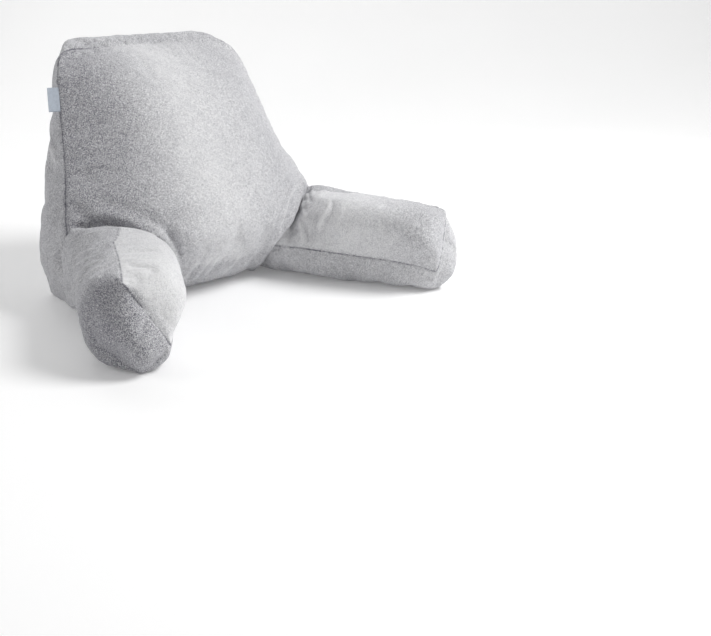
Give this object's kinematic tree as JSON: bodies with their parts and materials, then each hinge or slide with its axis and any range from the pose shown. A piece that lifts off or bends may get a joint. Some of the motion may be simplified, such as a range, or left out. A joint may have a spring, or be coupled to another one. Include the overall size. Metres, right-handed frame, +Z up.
{
  "type": "backrest pillow",
  "caption": "Stuffed wedge-shaped backrest pillow in plush cloth, with two stuffed arms reaching forward and apart and a bare folded label in its side seam.",
  "frame": {"origin": "on the flat underside of the back cushion, in the middle of its width, at floor level", "axes": "+Z up, -Y towards the front where the arms reach, +X towards the viewer's right when seen from the front"},
  "size_m": [0.7528, 0.5489, 0.443],
  "materials": {
    "plush": "soft short-pile plush, light grey, matt with a faint sheen",
    "label_tape": "smooth woven tape, pale, bare"
  },
  "bodies": {
    "root": {"back_cushion": "plush", "arm_left": "plush", "arm_right": "plush", "side_label": "label_tape"}
  },
  "joints": []
}
